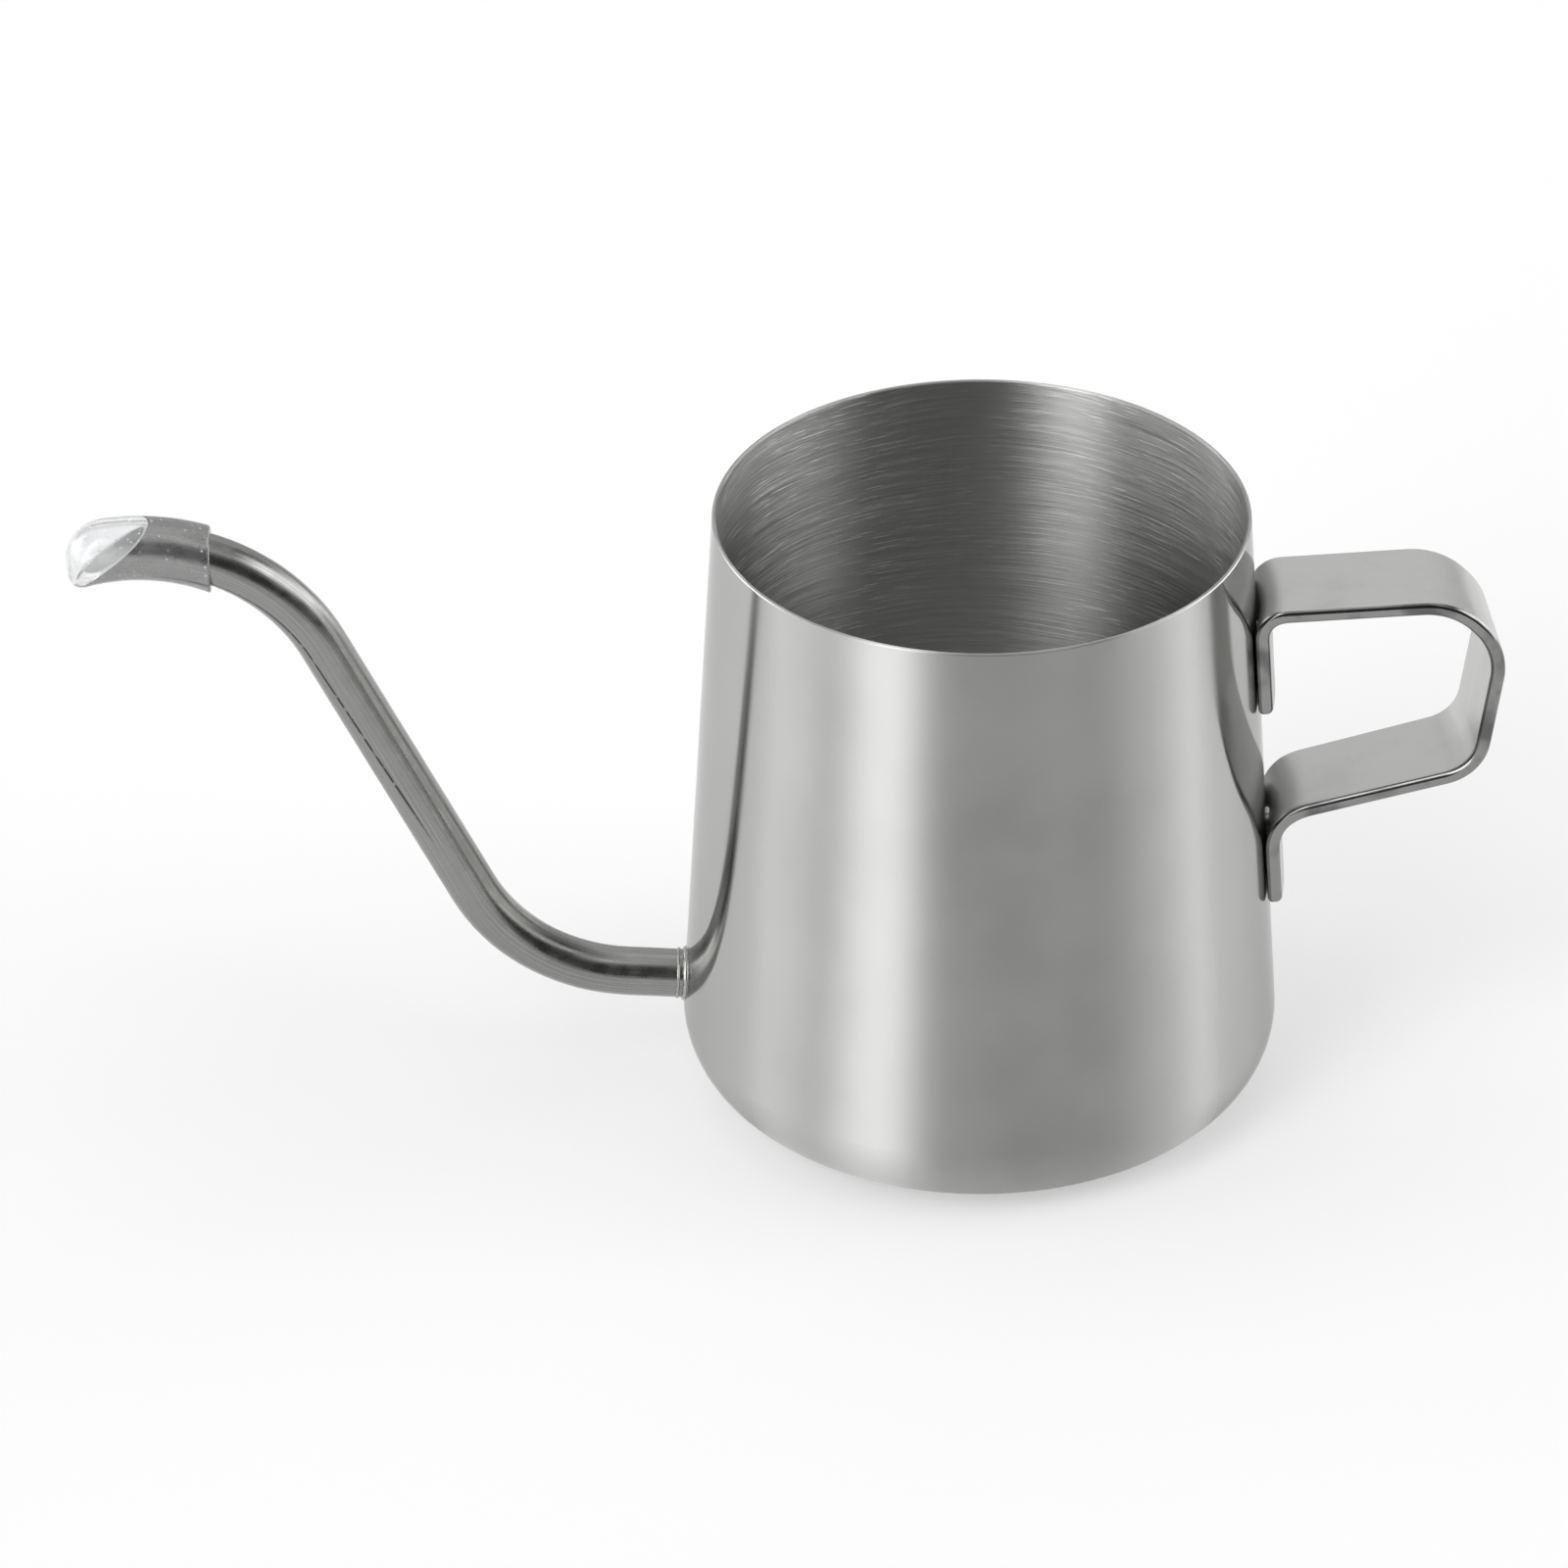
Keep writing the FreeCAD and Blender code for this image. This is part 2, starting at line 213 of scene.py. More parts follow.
# Grains: how close-set the lines are, per metre on X, Y and Z, or round the spout and along it
POLISH_GRAIN = (60.0, 60.0, 7000.0)
WIPE_GRAIN = (18.0, 18.0, 9.0)
BRUSH_GRAIN = (60.0, 60.0, 9000.0)
SCRATCH_GRAIN = (170.0, 170.0, 3900.0)
DRAWN_GRAIN = (5200.0, 30.0, 0.0)
TOOL_MARK_GRAIN = (300.0, 700.0, 0.0)
FILE_GRAIN = (900.0, 5000.0, 900.0)
SATIN_GRAIN = (45.0, 4000.0, 45.0)
BRUSH_WAVER = 0.005  # how far the brushed lines stray

# Depths of the fine relief
POLISH_DEPTH = 0.000004
BRUSH_DEPTH = 0.000025
SCRATCH_DEPTH = 0.00005
SPOUT_MARK_DEPTH = 0.00001
DRAWN_DEPTH = 0.000008
TOOL_MARK_DEPTH = 0.00004
BORE_DEPTH = 0.00002
FILE_DEPTH = 0.00001
EDGE_MARK_DEPTH = 0.00004
EDGE_MARK_STRENGTH = 0.8
SATIN_DEPTH = 0.000006
WELD_RIPPLE_DEPTH = 0.00012
VINYL_HAZE_DEPTH = 0.000012

# Clear vinyl
VINYL_REFRACTION = 1.45
VINYL_CLEARNESS = 0.95
SPECKS_PER_METRE = 900.0
SPECK_SIZE = (0.1, 0.16)  # as a share of the way between specks: where one is full, and where it ends
SPECK_MILKINESS = 0.5


def add_camera():
    """Camera at the photograph's viewing angle: it looks at AIM, then turns a little about its own axes."""
    level = math.cos(CAMERA_ELEVATION)
    back = Vector((
        math.sin(CAMERA_AZIMUTH) * level, -math.cos(CAMERA_AZIMUTH) * level, math.sin(CAMERA_ELEVATION)))
    right = Vector((math.cos(CAMERA_AZIMUTH), math.sin(CAMERA_AZIMUTH), 0))
    up = back.cross(right)
    turn = Matrix((right, up, back)).transposed()
    turn = turn @ Matrix.Rotation(CAMERA_YAW, 3, "Y")
    turn = turn @ Matrix.Rotation(CAMERA_PITCH, 3, "X")
    turn = turn @ Matrix.Rotation(CAMERA_ROLL, 3, "Z")
    data = bpy.data.cameras.new("camera")
    data.sensor_width = SENSOR_MM
    data.lens = FOCAL_PIXELS / IMAGE_SIDE * SENSOR_MM
    camera = bpy.data.objects.new("camera", data)
    camera.matrix_world = Matrix.Translation(AIM + back * CAMERA_DISTANCE) @ turn.to_4x4()
    bpy.context.scene.collection.objects.link(camera)
    bpy.context.scene.camera = camera


class Nodes:
    """Short names for making and linking the nodes of one tree."""

    def __init__(self, tree):
        self.tree = tree

    def add(self, kind, **settings):
        node = self.tree.nodes.new("ShaderNode" + kind)
        for name, value in settings.items():
            setattr(node, name, value)
        return node

    def set(self, socket, value):
        """Links a socket to another one, or gives it a plain value."""
        if isinstance(value, bpy.types.NodeSocket):
            self.tree.links.new(value, socket)
        else:
            socket.default_value = value

    def math(self, operation, *values):
        node = self.add("Math", operation=operation)
        for socket, value in zip(node.inputs, values):
            self.set(socket, value)
        return node.outputs[0]

    def ramp(self, value, low, high, to_low=0.0, to_high=1.0):
        """Smooth step of a value from one level to another."""
        node = self.add("MapRange", interpolation_type="SMOOTHSTEP")
        self.set(node.inputs["Value"], value)
        self.set(node.inputs["From Min"], low)
        self.set(node.inputs["From Max"], high)
        self.set(node.inputs["To Min"], to_low)
        self.set(node.inputs["To Max"], to_high)
        return node.outputs[0]

    def place(self):
        """A point's place on its piece, which moves with the piece."""
        return self.add("TexCoord").outputs["Object"]

    def split(self, vector):
        node = self.add("SeparateXYZ")
        self.set(node.inputs[0], vector)
        return node.outputs

    def join(self, x, y, z):
        node = self.add("CombineXYZ")
        for socket, value in zip(node.inputs, (x, y, z)):
            self.set(socket, value)
        return node.outputs[0]

    def stretched(self, vector, scale):
        node = self.add("VectorMath", operation="MULTIPLY")
        self.set(node.inputs[0], vector)
        self.set(node.inputs[1], scale)
        return node.outputs[0]

    def from_axis(self, place):
        """Distance of a place from the pot's axis."""
        node = self.add("VectorMath", operation="LENGTH")
        self.set(node.inputs[0], self.stretched(place, (1.0, 1.0, 0.0)))
        return node.outputs["Value"]

    def beside(self, place):
        """Share of the distance from the axis that is towards the spout or the handle."""
        return self.math("DIVIDE", self.math("ABSOLUTE", self.split(place)["X"]), self.from_axis(place))

    def round_axis(self, place, waver=0.0):
        """Place on the pot with its third number running down the wall and on to the base's middle.

        Noise that is close-set along it makes lines round the axis, on the wall and on the base.
        """
        parts = self.split(place)
        run = self.math("ADD", parts["Z"], self.from_axis(place))
        return self.join(parts["X"], parts["Y"], self.math("ADD", run, waver))

    def noise(self, vector, scale=1.0, detail=2.0, roughness=0.5):
        node = self.add("TexNoise")
        self.set(node.inputs["Vector"], vector)
        self.set(node.inputs["Scale"], scale)
        self.set(node.inputs["Detail"], detail)
        self.set(node.inputs["Roughness"], roughness)
        return node.outputs["Fac"]

    def grain(self, vector, spread, detail, roughness=0.5):
        """Noise drawn out into lines."""
        return self.noise(self.stretched(vector, spread), detail=detail, roughness=roughness)

    def bump(self, height, distance, strength=1.0, under=None):
        node = self.add("Bump")
        self.set(node.inputs["Height"], height)
        self.set(node.inputs["Distance"], distance)
        self.set(node.inputs["Strength"], strength)
        if under is not None:
            self.set(node.inputs["Normal"], under)
        return node.outputs[0]

    def mix_color(self, share, first, second):
        node = self.add("Mix", data_type="RGBA")
        self.set(node.inputs["Factor"], share)
        self.set(node.inputs["A"], first)
        self.set(node.inputs["B"], second)
        return node.outputs["Result"]


def new_material(name):
    material = bpy.data.materials.new(name)
    material.use_nodes = True
    return material, Nodes(material.node_tree), material.node_tree.nodes["Principled BSDF"].inputs


def set_steel(nodes, shader, color, roughness, normal):
    """Makes a shader bare metal with this colour, roughness and relief."""
    nodes.set(shader["Base Color"], color)
    nodes.set(shader["Metallic"], 1.0)
    nodes.set(shader["Roughness"], roughness)
    nodes.set(shader["Normal"], normal)


def set_round_gloss(nodes, shader, spread, tint):
    """Spreads a shader's gloss across lines that run round the pot's axis."""
    tangent = nodes.add("Tangent", direction_type="RADIAL", axis="Z")
    nodes.set(shader["Specular Tint"], tint)
    nodes.set(shader["Anisotropic"], spread)
    nodes.set(shader["Anisotropic Rotation"], QUARTER_TURN)
    nodes.set(shader["Tangent"], tangent.outputs[0])


def polished_steel():
    """Outside of the pot: polished round the axis in very fine lines, with wipe marks and buffed sides."""
    material, nodes, shader = new_material("polished_steel")
    place = nodes.place()
    marks = nodes.noise(place, scale=70.0, detail=5.0, roughness=0.6)
    wipes = nodes.grain(place, WIPE_GRAIN, detail=4.0, roughness=0.6)
    lines = nodes.grain(nodes.round_axis(place), POLISH_GRAIN, detail=2.0)
    wiped = nodes.ramp(wipes, 0.45, 0.75, 0.0, WIPE_ROUGHNESS)
    buffed = nodes.ramp(nodes.beside(place), *BUFFED_ZONE, 0.0, BUFFED_ROUGHNESS)
    roughness = nodes.math("ADD", nodes.ramp(marks, 0.35, 0.75, *POLISHED_ROUGHNESS), wiped)
    roughness = nodes.math("ADD", roughness, buffed)
    color = nodes.mix_color(marks, POLISHED_LIGHT, POLISHED_DARK)
    set_steel(nodes, shader, color, roughness, nodes.bump(lines, POLISH_DEPTH))
    set_round_gloss(nodes, shader, POLISHED_SPREAD, POLISHED_TINT)
    return material


def brushed_steel():
    """Inside of the pot: brushed round the axis, with long and short scratches that catch the light and are
    painted near white as painted highlights. Its colour is darker towards the spout and the handle, as
    painted shade.
    """
    material, nodes, shader = new_material("brushed_steel")
    place = nodes.place()
    waver = nodes.math("MULTIPLY", nodes.noise(place, scale=25.0, detail=1.0), BRUSH_WAVER)
    run = nodes.round_axis(place, waver)
    fine = nodes.grain(run, BRUSH_GRAIN, detail=3.0)
    coarse = nodes.grain(run, SCRATCH_GRAIN, detail=3.0)
    beside = nodes.beside(place)
    patches = nodes.ramp(nodes.noise(place, scale=45.0, detail=2.0), 0.38, 0.62, 0.3, 1.0)
    # The scratches' painted highlights are set stronger towards the spout and the handle
    patches = nodes.math("MULTIPLY", patches, nodes.ramp(beside, 0.1, 0.55, 0.3, 1.0))
    scratch = nodes.math("MULTIPLY", nodes.ramp(coarse, 0.56, 0.69), patches)
    normal = nodes.bump(fine, BRUSH_DEPTH)
    normal = nodes.bump(scratch, SCRATCH_DEPTH, under=normal)
    # Painted highlights: the scratches go near white, and the fine lines part way
    glint_and_grain = nodes.math("ADD", nodes.math("MULTIPLY", scratch, 0.75), nodes.ramp(fine, 0.35, 0.7, 0.0, 0.4))
    # Painted shade: the inside is written darker towards the spout and the handle
    shaded_ground = nodes.mix_color(nodes.ramp(beside, 0.4, 0.85), BRUSHED_FRONT, BRUSHED_SHADED_SIDE)
    color = nodes.mix_color(glint_and_grain, shaded_ground, SCRATCH_GLINT_COLOR)
    set_steel(nodes, shader, color, nodes.ramp(fine, 0.3, 0.7, *BRUSHED_ROUGHNESS), normal)
    set_round_gloss(nodes, shader, BRUSHED_SPREAD, BRUSHED_TINT)
    return material


def tool_mark(nodes, along):
    """Where the broken mark of a bending tool is on the spout."""
    parts = nodes.split(along)
    girth = parts["X"]
    length = parts["Y"]
    drift = nodes.math("MULTIPLY_ADD", length, TOOL_MARK_DRIFT, TOOL_MARK_GIRTH)
    off_mark = nodes.math("ABSOLUTE", nodes.math("ADD", girth, drift))
    mark = nodes.ramp(off_mark, *TOOL_MARK_WIDTH, 1.0, 0.0)
    broken = nodes.ramp(nodes.grain(along, TOOL_MARK_GRAIN, detail=4.0), 0.3, 0.48)
    for share in (broken, nodes.ramp(length, *TOOL_MARK_START), nodes.ramp(length, *TOOL_MARK_END)):
        mark = nodes.math("MULTIPLY", mark, share)
    return mark


def spout_steel():
    """Drawn tube, with fine lines along its length and the mark of a bending tool. Its steel is written
    much darker than the pot's, as painted shade.
    """
    material, nodes, shader = new_material("spout_steel")
    along = nodes.add("UVMap", uv_map="tube_lines").outputs[0]
    lines = nodes.grain(along, DRAWN_GRAIN, detail=3.0)
    marks = nodes.noise(nodes.place(), scale=330.0, detail=4.0, roughness=0.65)
    mark = tool_mark(nodes, along)
    normal = nodes.bump(marks, SPOUT_MARK_DEPTH)
    normal = nodes.bump(lines, DRAWN_DEPTH, under=normal)
    normal = nodes.bump(mark, -TOOL_MARK_DEPTH, under=normal)
    # Painted shade: the tube's colour is far darker than the pot's steel
    color = nodes.mix_color(nodes.ramp(lines, 0.35, 0.65), SPOUT_SHADED_DARK, SPOUT_SHADED_LIGHT)
    color = nodes.mix_color(mark, color, TOOL_MARK_COLOR)
    set_steel(nodes, shader, color, nodes.ramp(marks, 0.3, 0.7, *SPOUT_ROUGHNESS), normal)
    return material


def bore_steel():
    """Spout's bore: dull, and written pale as painted light."""
    material, nodes, shader = new_material("bore_steel")
    patches = nodes.noise(nodes.place(), scale=600.0, detail=3.0)
    # Painted light: the bore is written pale
    color = nodes.mix_color(patches, BORE_PAINTED_LIGHT_DIM, BORE_PAINTED_LIGHT_BRIGHT)
    roughness = nodes.ramp(patches, 0.3, 0.7, *BORE_ROUGHNESS)
    set_steel(nodes, shader, color, roughness, nodes.bump(patches, BORE_DEPTH))
    return material


def filed_steel():
    """Spout's cut lip, filed bright, and written paler still as a painted highlight."""
    material, nodes, shader = new_material("filed_steel")
    strokes = nodes.grain(nodes.place(), FILE_GRAIN, detail=2.0)
    # Partly filed metal, partly painted highlight: the lip is written far paler than steel
    color = nodes.mix_color(strokes, FILED_HIGHLIGHT_DARK, FILED_HIGHLIGHT_LIGHT)
    roughness = nodes.ramp(strokes, 0.3, 0.7, *FILED_ROUGHNESS)
    set_steel(nodes, shader, color, roughness, nodes.bump(strokes, FILE_DEPTH))
    return material


def handle_steel():
    """Strip: satin on its broad faces, with lines along it, and polished by hand on its round edges, which
    are written far darker than the faces, in blotches, as painted shade.
    """
    material, nodes, shader = new_material("handle_steel")
    place = nodes.place()
    facing = nodes.split(nodes.add("NewGeometry").outputs["Normal"])
    edge = nodes.ramp(nodes.math("ABSOLUTE", facing["Y"]), 0.15, 0.5)
    lines = nodes.grain(place, SATIN_GRAIN, detail=3.0)
    marks = nodes.noise(place, scale=170.0, detail=3.0)
    mottle = nodes.noise(place, scale=120.0, detail=4.0, roughness=0.6)
    satin = nodes.ramp(lines, 0.3, 0.7, *SATIN_ROUGHNESS)
    polish = nodes.ramp(marks, 0.35, 0.7, *EDGE_ROUGHNESS)
    on_edge = nodes.math("MULTIPLY", edge, polish)
    on_face = nodes.math("MULTIPLY", nodes.math("SUBTRACT", 1.0, edge), satin)
    normal = nodes.bump(marks, EDGE_MARK_DEPTH, strength=nodes.math("MULTIPLY", edge, EDGE_MARK_STRENGTH))
    normal = nodes.bump(lines, SATIN_DEPTH, under=normal)
    face = nodes.mix_color(lines, SATIN_DARK, SATIN_LIGHT)
    face = nodes.mix_color(nodes.ramp(mottle, 0.45, 0.75, 0.0, 0.35), face, SATIN_MOTTLE)
    # Painted shade: the round edges are written far darker, in blotches
    shaded_edge = nodes.mix_color(nodes.ramp(marks, 0.42, 0.7), EDGE_SHADE, EDGE_SHADE_BLOTCH)
    color = nodes.mix_color(edge, face, shaded_edge)
    set_steel(nodes, shader, color, nodes.math("ADD", on_edge, on_face), normal)
    return material


def weld_steel():
    """Weld metal: rippled, a little dull, with a faint straw tint."""
    material, nodes, shader = new_material("weld_steel")
    ripples = nodes.noise(nodes.place(), scale=900.0, detail=2.0)
    color = nodes.mix_color(ripples, WELD_DARK, WELD_LIGHT)
    roughness = nodes.ramp(ripples, 0.3, 0.7, *WELD_ROUGHNESS)
    set_steel(nodes, shader, color, roughness, nodes.bump(ripples, WELD_RIPPLE_DEPTH))
    return material


def clear_vinyl():
    """Soft clear cap: slightly milky, with specks and pulls in its skin."""
    material, nodes, shader = new_material("clear_vinyl")
    place = nodes.place()
    haze = nodes.noise(place, scale=350.0, detail=3.0)
    dots = nodes.add("TexVoronoi")
    nodes.set(dots.inputs["Vector"], place)
    nodes.set(dots.inputs["Scale"], SPECKS_PER_METRE)
    speck = nodes.ramp(dots.outputs["Distance"], *SPECK_SIZE, 1.0, 0.0)
    clearness = nodes.math("MULTIPLY_ADD", speck, -SPECK_MILKINESS, VINYL_CLEARNESS)
    nodes.set(shader["Base Color"], VINYL_COLOR)
    nodes.set(shader["Roughness"], nodes.ramp(haze, 0.35, 0.75, *VINYL_ROUGHNESS))
    nodes.set(shader["IOR"], VINYL_REFRACTION)
    nodes.set(shader["Transmission Weight"], clearness)
    nodes.set(shader["Normal"], nodes.bump(haze, VINYL_HAZE_DEPTH))
    return material


def heading(angle):
    """Direction along the spout at an angle above the level."""
    return Vector((-math.cos(angle), 0, math.sin(angle)))


def upper_side(angle):
    """Direction square to the spout's heading, on its upper side."""
    return Vector((math.sin(angle), 0, math.cos(angle)))


CLIMB_END = UPPER_BEND_CENTRE + upper_side(CLIMB_ANGLE) * UPPER_BEND_RADIUS
CLIMB_START = CLIMB_END - heading(CLIMB_ANGLE) * CLIMB_RUN
LOWER_BEND_CENTRE = CLIMB_START + upper_side(CLIMB_ANGLE) * LOWER_BEND_RADIUS
ROOT_RUN_END = LOWER_BEND_CENTRE - upper_side(ROOT_ANGLE) * LOWER_BEND_RADIUS


def along_spout(point):
    """Length along the spout's centre line from the climb's start, and height above that line."""
    flat = Vector((point.x, 0, point.z))
    climbed = (flat - CLIMB_START).dot(heading(CLIMB_ANGLE))
    if climbed > CLIMB_RUN:
        arm = flat - UPPER_BEND_CENTRE
        turned = CLIMB_ANGLE - math.atan2(arm.x, arm.z)
        return CLIMB_RUN + UPPER_BEND_RADIUS * turned, arm.length - UPPER_BEND_RADIUS
    if climbed > 0:
        return climbed, (flat - CLIMB_START).dot(upper_side(CLIMB_ANGLE))
    arm = LOWER_BEND_CENTRE - flat
    angle = math.atan2(arm.x, arm.z)
    if angle > ROOT_ANGLE:
        return LOWER_BEND_RADIUS * (angle - CLIMB_ANGLE), LOWER_BEND_RADIUS - arm.length
    past = (flat - ROOT_RUN_END).dot(heading(ROOT_ANGLE))
    height = (flat - ROOT_RUN_END).dot(upper_side(ROOT_ANGLE))
    return LOWER_BEND_RADIUS * (ROOT_ANGLE - CLIMB_ANGLE) + past, height


def own_copy(node, name):
    """New piece with a CAD node's mesh, which stands for that node and rides on its body."""
    source = frame["nodes"][node]
    piece = bpy.data.objects.new(name, source.data.copy())
    bpy.context.scene.collection.objects.link(piece)
    piece.data.materials.clear()
    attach(piece, source["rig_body"])
    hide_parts(node)
    return piece


def smooth(value, low, high):
    """Smooth step from 0 at low to 1 at high."""
    share = min(max((value - low) / (high - low), 0.0), 1.0)
    return share * share * (3 - 2 * share)


def finish_mesh(mesh):
    """Smooth faces with crisp edges where they meet at a corner."""
    mesh.shade_smooth()
    mesh.set_sharp_from_angle(angle=CREASE_ANGLE)


def skin_of(piece):
    """Copied mesh of a piece, welded into one skin for new shaping."""
    mesh = piece.data
    mesh.attributes.remove(mesh.attributes["custom_normal"])
    skin = bmesh.new()
    skin.from_mesh(mesh)
    bmesh.ops.remove_doubles(skin, verts=skin.verts, dist=SAME_PLACE)
    return skin


def put_skin(piece, skin):
    skin.to_mesh(piece.data)
    skin.free()
    finish_mesh(piece.data)


def add_pot():
    """Pot with one finish outside and on the rim, and another inside."""
    pot = own_copy("pot_body", "pot_shell")
    for material in (polished_steel(), brushed_steel()):
        pot.data.materials.append(material)
    for face in pot.data.polygons:
        out = Vector((face.center.x, face.center.y, 0))
        inward = face.normal.dot(out) < 0
        floor = face.normal.z > LOOKS_UP and face.center.z < POT_HEIGHT / 2
        face.material_index = int(inward or floor)


def is_lip(face):
    """Whether a face of the spout is on the slanting cut at its mouth."""
    arm = Vector((face.center.x, 0, face.center.z)) - UPPER_BEND_CENTRE
    out = arm.normalized() * (arm.length - UPPER_BEND_RADIUS) + Vector((0, face.center.y, 0))
    slanting = abs(face.normal.dot(out.normalized())) < LIP_SLANT
    return face.center.x < CAP_BACK and slanting and abs(face.normal.y) < LIP_SIDEWAYS


def add_spout():
    """Spout with a map of its length and girth for the lines on it."""
    spout = own_copy("spout_tube", "spout_pipe")
    mesh = spout.data
    lines = mesh.uv_layers.new(name="tube_lines")
    for face in mesh.polygons:
        turns = []
        for corner in face.loop_indices:
            point = mesh.vertices[mesh.loops[corner].vertex_index].co
            length, height = along_spout(point)
            turn = math.atan2(point.y, height)
            if turns and turn - turns[0] > math.pi:
                turn -= 2 * math.pi
            elif turns and turns[0] - turn > math.pi:
                turn += 2 * math.pi
            turns.append(turn)
            lines.data[corner].uv = (turn * TUBE_RADIUS, length)
    for material in (spout_steel(), filed_steel(), bore_steel()):
        mesh.materials.append(material)
    for face in mesh.polygons:
        off_centre = math.hypot(face.center.y, along_spout(face.center)[1])
        if is_lip(face):
            face.material_index = 1
        elif off_centre < BORE_LIMIT:
            face.material_index = 2


def bent_strap(point):
    """Where a point of the straight CAD strap lies on the real one."""
    off_wall = (point.x - FOOT_RADIUS) * math.cos(WALL_LEAN) + point.z * math.sin(WALL_LEAN)
    radius = FOOT_RADIUS - point.z * math.tan(WALL_LEAN) + off_wall
    curl = radius - math.sqrt(radius ** 2 - point.y ** 2)
    hug = 1 - smooth(off_wall, *TAB_REACH)
    skew = smooth(point.x, SKEW_START, SKEW_END)
    point.x -= curl * hug + (SKEW_SHIFT + SKEW_PER_WIDTH * point.y) * skew
    return point


def add_strap():
    """Handle's strap, with tabs that follow the wall's curve."""
    strap = own_copy("handle_strap", "handle_strip")
    skin = skin_of(strap)
    step = 2 * STRAP_HALF_WIDTH / (STRAP_CUTS + 1)
    for count in range(STRAP_CUTS):
        across = -STRAP_HALF_WIDTH + step * (count + 1)
        whole = skin.verts[:] + skin.edges[:] + skin.faces[:]
        bmesh.ops.bisect_plane(
            skin, geom=whole, dist=SAME_PLACE, plane_co=(0, across, 0), plane_no=(0, 1, 0))
    for point in skin.verts:
        point.co = bent_strap(point.co.copy())
    put_skin(strap, skin)
    strap.data.materials.append(handle_steel())


def new_piece(name, skin, node, material):
    """Piece with a mesh of its own, which stands for a CAD node and rides on its body."""
    bmesh.ops.recalc_face_normals(skin, faces=skin.faces)
    mesh = bpy.data.meshes.new(name)
    skin.to_mesh(mesh)
    skin.free()
    finish_mesh(mesh)
    mesh.materials.append(material)
    piece = bpy.data.objects.new(name, mesh)
    bpy.context.scene.collection.objects.link(piece)
    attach(piece, frame["nodes"][node]["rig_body"])
    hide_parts(node)


def bridge(skin, ring, following):
    """Faces between two rings with the same number of points."""
    for count in range(len(ring)):
        after = (count + 1) % len(ring)
        skin.faces.new((ring[count], ring[after], following[after], following[count]))


def cap_point(radius, turn, x):
    """Point of the cap at a place on X, a distance from the spout's centre line and an angle round it."""
    reach = UPPER_BEND_RADIUS + radius * math.cos(turn)
    rise = math.sqrt(reach ** 2 - (x - UPPER_BEND_CENTRE.x) ** 2)
    return Vector((x, radius * math.sin(turn), UPPER_BEND_CENTRE.z + rise))


def cap_ring(radius, place):
    """Ring of the cap's points, where place gives the X for each angle round it from the top."""
    turns = [2 * math.pi * count / CAP_TURNS for count in range(CAP_TURNS)]
    return [cap_point(radius, turn, place(turn)) for turn in turns]


def cap_skin(front, radius, depths, back):
    """Rings of the cap's outer or inner skin, from its closed end to its open one."""
    def edge(turn):
        return depths[0] + (depths[1] - depths[0]) * (1 + math.cos(turn)) / 2

    rings = []
    for step in range(CAP_DOME_STEPS):
        angle = math.pi / 2 * (step + 1) / CAP_DOME_STEPS
        size = radius * math.sin(angle) ** (2 / CAP_DOME_POWER)
        sink = 1 - max(math.cos(angle), 0.0) ** (2 / CAP_DOME_POWER)
        rings.append(cap_ring(size, lambda turn: front + sink * edge(turn)))
    for step in range(CAP_SIDE_STEPS):
        share = (step + 1) / CAP_SIDE_STEPS
        rings.append(cap_ring(radius, lambda turn: (front + edge(turn)) * (1 - share) + back * share))
    return rings


def add_cap():
    """Clear cap, whose soft bore lies on the steel with no air between."""
    hollow_front = CAP_FRONT + CAP_END_WALL
    places = cap_skin(CAP_FRONT, CAP_RADIUS, CAP_DOME, CAP_BACK - CAP_BACK_ROUND)
    for step in range(CAP_ROUND_STEPS):
        angle = math.pi / 2 * (step + 1) / CAP_ROUND_STEPS
        inset = CAP_BACK_ROUND * (1 - math.cos(angle))
        x = CAP_BACK - CAP_BACK_ROUND * (1 - math.sin(angle))
        places.append(cap_ring(CAP_RADIUS - inset, lambda turn: x))
    places.extend(reversed(cap_skin(hollow_front, TUBE_RADIUS - CAP_GRIP, CAP_HOLLOW, CAP_BACK)))
    skin = bmesh.new()
    rings = [[skin.verts.new(place) for place in ring] for ring in places]
    for ring, following in zip(rings, rings[1:]):
        bridge(skin, ring, following)
    for ring, front in ((rings[0], CAP_FRONT), (rings[-1], hollow_front)):
        middle = skin.verts.new(cap_point(0, 0, front))
        for count in range(CAP_TURNS):
            skin.faces.new((middle, ring[count], ring[(count + 1) % CAP_TURNS]))
    new_piece("clear_cap", skin, "spout_tip_cap", clear_vinyl())


def root_point(turn):
    """Point where the spout's skin meets the pot's wall, at an angle round the spout from its top."""
    side = upper_side(ROOT_ANGLE) * math.cos(turn) + Vector((0, math.sin(turn), 0))
    point = ROOT_RUN_END + side * TUBE_RADIUS
    back = heading(ROOT_ANGLE) * -1
    for _ in range(ROOT_TRIES):
        wall = FOOT_RADIUS - point.z * math.tan(WALL_LEAN)
        point = point + back * (math.hypot(point.x, point.y) - wall)
    return point, side


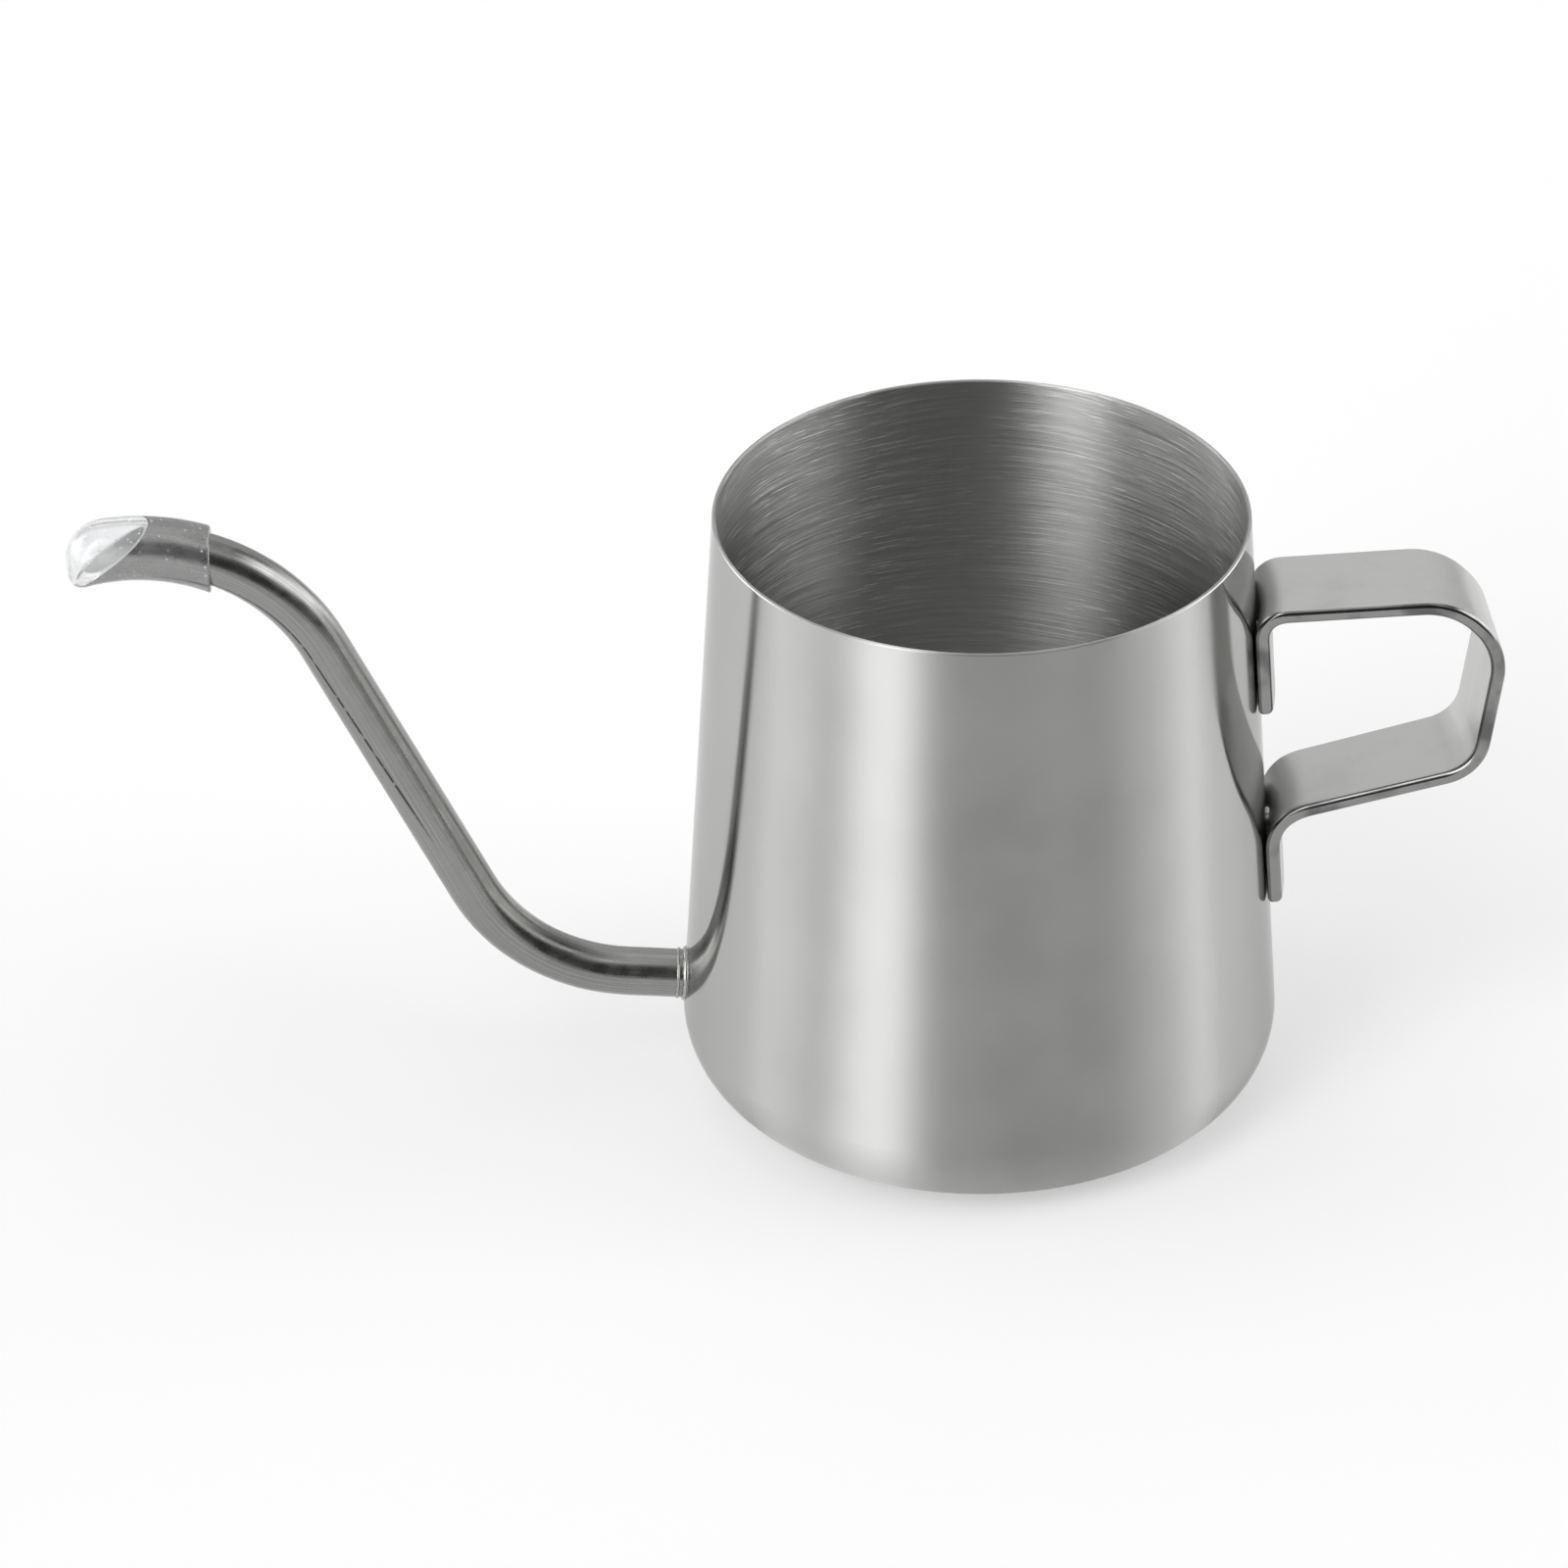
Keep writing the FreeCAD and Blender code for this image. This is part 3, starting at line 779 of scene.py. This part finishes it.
def add_bead():
    """Weld bead round the spout's root, laid in overlapping ripples."""
    skin = bmesh.new()
    for off_wall, size in BEAD_RINGS:
        rings = []
        for step in range(BEAD_STEPS):
            turn = 2 * math.pi * step / BEAD_STEPS
            middle, side = root_point(turn)
            middle = middle + heading(ROOT_ANGLE) * off_wall
            wobble = sum(depth * math.sin(number * turn + shift) for depth, number, shift in BEAD_WOBBLES)
            ripple = abs(math.sin(BEAD_RIPPLES * turn / 2))
            radius = size * (1 - BEAD_RIPPLE_DEPTH + BEAD_RIPPLE_DEPTH * ripple + wobble)
            ring = []
            for count in range(BEAD_SIDES):
                angle = 2 * math.pi * count / BEAD_SIDES
                offset = side * math.cos(angle) + heading(ROOT_ANGLE) * math.sin(angle)
                ring.append(skin.verts.new(middle + offset * radius))
            rings.append(ring)
        for ring, following in zip(rings, rings[1:] + rings[:1]):
            bridge(skin, ring, following)
    new_piece("weld_ring", skin, "spout_weld_bead", weld_steel())


def paint(material, *node_names):
    """Gives CAD nodes that show as they are a material."""
    for name in node_names:
        slots = frame["nodes"][name].data.materials
        slots.clear()
        slots.append(material)


def add_floor():
    """Plain pale floor. The camera, steel and clear vinyl all see it white, with a soft shadow."""
    bpy.ops.mesh.primitive_plane_add(size=FLOOR_SIDE)
    floor = bpy.context.object
    floor.name = "floor"
    material, nodes, shader = new_material("floor")
    nodes.set(shader["Base Color"], FLOOR_COLOR)
    nodes.set(shader["Roughness"], FLOOR_ROUGHNESS)
    path = nodes.add("LightPath").outputs
    seen = nodes.math("MAXIMUM", path["Is Camera Ray"], path["Is Glossy Ray"])
    seen = nodes.math("MAXIMUM", seen, path["Is Transmission Ray"])
    whiten = nodes.add("MixShader")
    nodes.set(whiten.inputs[0], nodes.math("MULTIPLY", seen, FLOOR_WHITENING))
    nodes.set(whiten.inputs[1], nodes.tree.nodes["Principled BSDF"].outputs[0])
    nodes.set(whiten.inputs[2], nodes.add("Emission").outputs[0])
    nodes.set(nodes.tree.nodes["Material Output"].inputs["Surface"], whiten.outputs[0])
    floor.data.materials.append(material)


def add_studio():
    """Room with soft panels of light, the same for every ray."""
    world = bpy.data.worlds.new("studio")
    world.use_nodes = True
    bpy.context.scene.world = world
    nodes = Nodes(world.node_tree)
    parts = nodes.split(nodes.add("TexCoord").outputs["Generated"])
    azimuth = nodes.math("ARCTAN2", parts["X"], nodes.math("MULTIPLY", parts["Y"], -1.0))
    elevation = nodes.math("ARCSINE", parts["Z"])
    level = SURROUND[0][1]
    for (low, before), (high, after) in zip(SURROUND, SURROUND[1:]):
        step = nodes.ramp(elevation, math.radians(low), math.radians(high), 0.0, after - before)
        level = nodes.math("ADD", step, level)
    for centre, inner, outer, begin, full, fade, end, brightness in PANELS:
        away = nodes.math("SUBTRACT", azimuth, math.radians(centre))
        away = nodes.math("ABSOLUTE", nodes.math("WRAP", away, math.pi, -math.pi))
        panel = nodes.ramp(away, math.radians(outer), math.radians(inner), 0.0, brightness)
        for none, all_of_it in ((begin, full), (end, fade)):
            share = nodes.ramp(elevation, math.radians(none), math.radians(all_of_it))
            panel = nodes.math("MULTIPLY", panel, share)
        level = nodes.math("ADD", level, panel)
    room = world.node_tree.nodes["Background"]
    nodes.set(room.inputs["Color"], (1, 1, 1, 1))
    nodes.set(room.inputs["Strength"], level)


add_camera()
add_floor()
add_studio()
add_pot()
add_spout()
add_strap()
add_cap()
add_bead()
paint(weld_steel(), "handle_upper_spot_welds", "handle_lower_spot_welds")
bpy.context.scene.view_settings.view_transform = "Standard"
